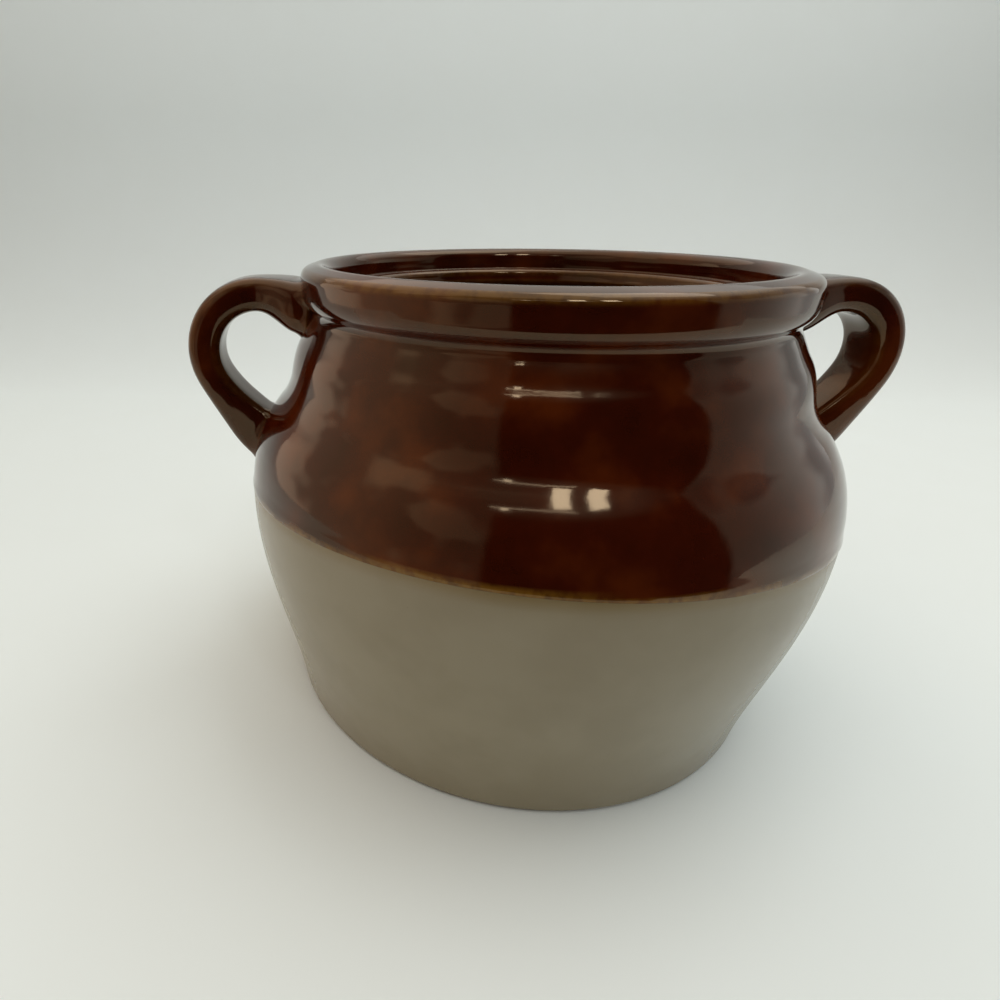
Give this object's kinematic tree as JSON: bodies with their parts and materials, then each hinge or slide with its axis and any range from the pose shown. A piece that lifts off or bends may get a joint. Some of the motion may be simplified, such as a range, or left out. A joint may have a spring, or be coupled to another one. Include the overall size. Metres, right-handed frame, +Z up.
{
  "type": "stoneware bean pot",
  "caption": "Squat round-bellied stoneware bean pot with a banded rim, an inner lid seat and ear handles, brown glaze above cream.",
  "frame": {"origin": "centre of the foot, on the surface that the pot stands on", "axes": "+Z up along the pot's axis of turning; +X towards the right handle, the left handle on -X; -Y towards the front"},
  "size_m": [0.2164, 0.18, 0.134],
  "materials": {
    "stoneware_clay": "matt, bare, fired stoneware clay",
    "brown_glaze": "glossy translucent red-brown glaze",
    "cream_glaze": "satin cream glaze",
    "liner_glaze": "glossy red-brown lining glaze"
  },
  "bodies": {
    "root": {"pot_body": "stoneware_clay", "handle_left": "brown_glaze", "handle_right": "brown_glaze", "brown_glaze": "brown_glaze", "cream_glaze": "cream_glaze", "inside_glaze": "liner_glaze"}
  },
  "joints": []
}
